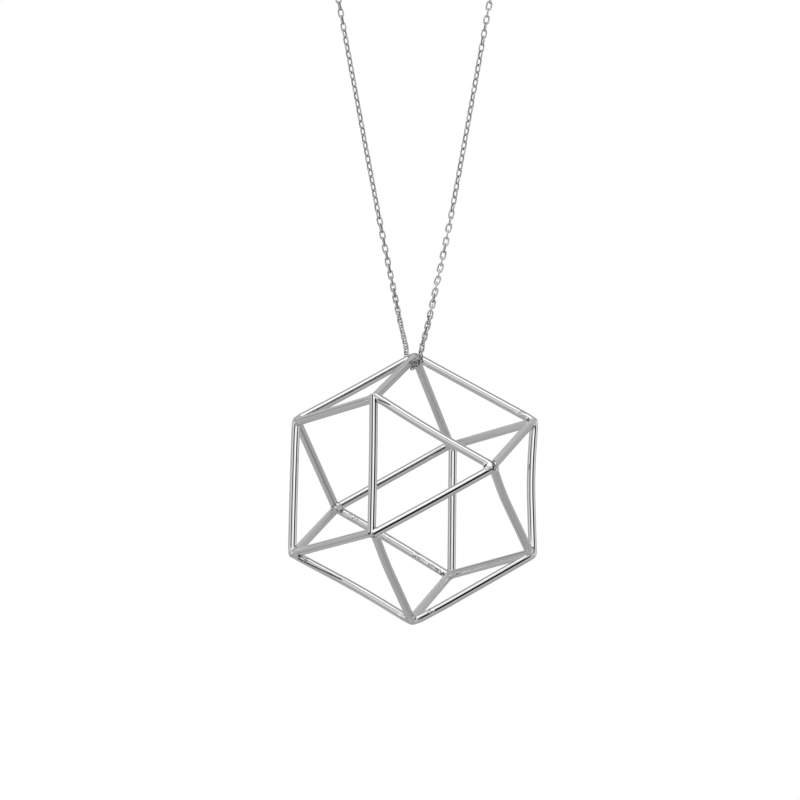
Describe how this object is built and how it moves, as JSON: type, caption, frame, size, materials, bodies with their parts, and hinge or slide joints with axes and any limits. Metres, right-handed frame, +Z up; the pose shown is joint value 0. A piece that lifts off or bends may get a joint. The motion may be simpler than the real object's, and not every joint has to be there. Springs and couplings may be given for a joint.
{
  "type": "geometric pendant on a chain",
  "caption": "Cuboctahedron cage of round polished wires, soldered at its corners, hung on a long fine cable chain that runs under its top corner and closes at the nape.",
  "frame": {"origin": "middle of the clasp, where the necklace hangs at the nape of the neck", "axes": "+X to the wearer's left, -Y forwards away from the chest, +Z up"},
  "size_m": [0.1072, 0.1235, 0.3592],
  "materials": {
    "cage_silver": "polished silver with a white rhodium plate, with fine polishing marks and a few pits",
    "chain_silver": "polished silver links with a white rhodium plate",
    "clasp_silver": "polished silver with a white rhodium plate"
  },
  "bodies": {
    "necklace": {"chain": "chain_silver", "clasp": "clasp_silver"},
    "pendant": {"pendant_frame": "cage_silver"}
  },
  "joints": [
    {"name": "pendant_swing", "type": "hinge", "parent": "necklace", "child": "pendant", "pos_m": [0, -0.106, -0.3176], "axis": [0.5774, -0.8165, 0], "range_deg": [-40, 40]}
  ]
}
